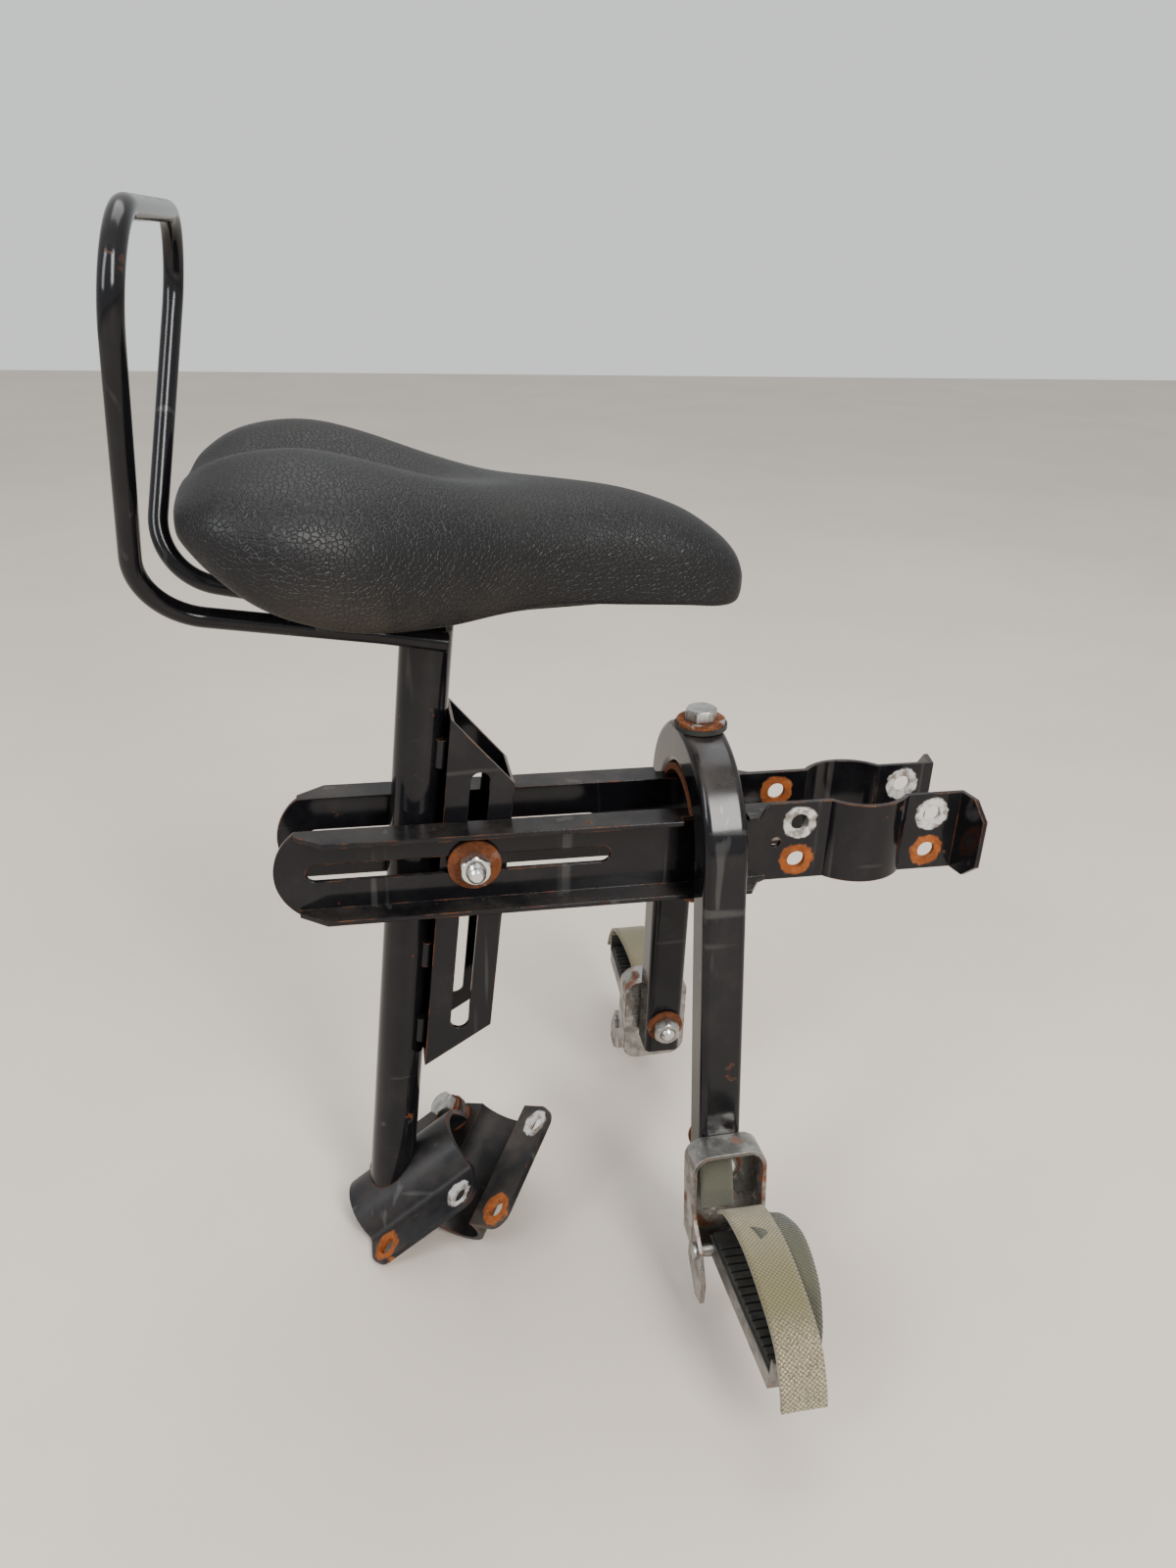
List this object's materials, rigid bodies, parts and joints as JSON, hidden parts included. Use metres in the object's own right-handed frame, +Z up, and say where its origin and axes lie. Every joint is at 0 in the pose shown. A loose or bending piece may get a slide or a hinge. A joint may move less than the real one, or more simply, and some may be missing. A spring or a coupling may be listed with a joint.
{
  "type": "bicycle child seat",
  "caption": "Front child seat for a bicycle: padded saddle with backrest hoop on an adjustable post, clamp arms and folding footrests with straps.",
  "frame": {"origin": "middle of the overall box, at the floor it stands on", "axes": "+X forward, from the backrest to the head tube clamp; +Y to the rider's left; +Z up"},
  "size_m": [0.3631, 0.3478, 0.4791],
  "materials": {
    "black_paint": "glossy black stove enamel with chips and rust on cut edges",
    "rusty_steel": "plain steel with brown surface rust",
    "zinc_hardware": "zinc plated",
    "zinc_plate": "zinc plated sheet, dull, rusty at its edges",
    "saddle_vinyl": "black grained vinyl, matte",
    "moulded_base": "moulded",
    "tread_rubber": "ribbed",
    "strap_webbing": "woven hook-and-loop webbing"
  },
  "bodies": {
    "arms": {"arm_right": "black_paint", "arm_left": "black_paint", "bridge_strap": "rusty_steel", "bridge_plate": "rusty_steel", "footrest_frame": "black_paint", "frame_bolt": "zinc_hardware", "frame_washers": "rusty_steel", "frame_rubber": "tread_rubber", "frame_nut": "zinc_hardware"},
    "bolt_carriage": {"through_bolt": "zinc_hardware", "through_washers": "rusty_steel", "through_nut": "zinc_hardware"},
    "spacer": {"spacer_tube": "zinc_hardware"},
    "post": {"seat_post": "black_paint", "height_bracket": "black_paint", "post_welds": "black_paint", "seat_plate": "black_paint", "backrest_hoop": "black_paint", "saddle_base": "moulded_base", "saddle_cover": "saddle_vinyl", "saddle_screws": "zinc_hardware", "tube_saddle": "black_paint", "clamp_bolt": "zinc_hardware", "clamp_washers": "rusty_steel", "clamp_nut": "zinc_hardware"},
    "cap": {"tube_cap": "black_paint"},
    "bracket_right": {"footrest_bracket_right": "zinc_plate", "footrest_bolt_right": "zinc_hardware", "footrest_washers_right": "rusty_steel", "footrest_nut_right": "zinc_hardware", "hinge_pin_right": "zinc_hardware"},
    "footrest_right": {"pedal_right": "zinc_plate", "pedal_tread_right": "tread_rubber", "strap_outer_right": "strap_webbing", "strap_inner_right": "strap_webbing"},
    "bracket_left": {"footrest_bracket_left": "zinc_plate", "footrest_bolt_left": "zinc_hardware", "footrest_washers_left": "rusty_steel", "footrest_nut_left": "zinc_hardware", "hinge_pin_left": "zinc_hardware"},
    "footrest_left": {"pedal_left": "zinc_plate", "pedal_tread_left": "tread_rubber", "strap_outer_left": "strap_webbing", "strap_inner_left": "strap_webbing"}
  },
  "joints": [
    {"name": "seat_slide", "type": "slide", "parent": "arms", "child": "bolt_carriage", "axis": [1, 0, 0], "range_m": [-0.068, 0.03]},
    {"name": "seat_tilt", "type": "hinge", "parent": "bolt_carriage", "child": "spacer", "pos_m": [-0.0552, 0, 0.219], "axis": [0, 1, 0], "range_deg": [-5, 5]},
    {"name": "seat_height", "type": "slide", "parent": "spacer", "child": "post", "axis": [0.0924, 0, 0.9957], "range_m": [-0.03, 0.085]},
    {"name": "cap_swing", "type": "hinge", "parent": "post", "child": "cap", "pos_m": [-0.06531, 0.031, 0.03517], "axis": [-0.6225, 0, 0.7826], "range_deg": [-48, 12]},
    {"name": "bracket_swivel_right", "type": "hinge", "parent": "arms", "child": "bracket_right", "pos_m": [0.05645, -0.05418, 0.071], "axis": [-0.0031, -0.9951, 0.0993], "range_deg": [-15, 15]},
    {"name": "pedal_fold_right", "type": "hinge", "parent": "bracket_right", "child": "footrest_right", "pos_m": [0.05939, -0.088, 0.041], "axis": [-1, 0, 0], "range_deg": [0, 20]},
    {"name": "bracket_swivel_left", "type": "hinge", "parent": "arms", "child": "bracket_left", "pos_m": [0.05645, 0.05418, 0.071], "axis": [-0.0031, 0.9951, 0.0993], "range_deg": [-15, 15]},
    {"name": "pedal_fold_left", "type": "hinge", "parent": "bracket_left", "child": "footrest_left", "pos_m": [0.05939, 0.088, 0.041], "axis": [1, 0, 0], "range_deg": [0, 20]}
  ]
}
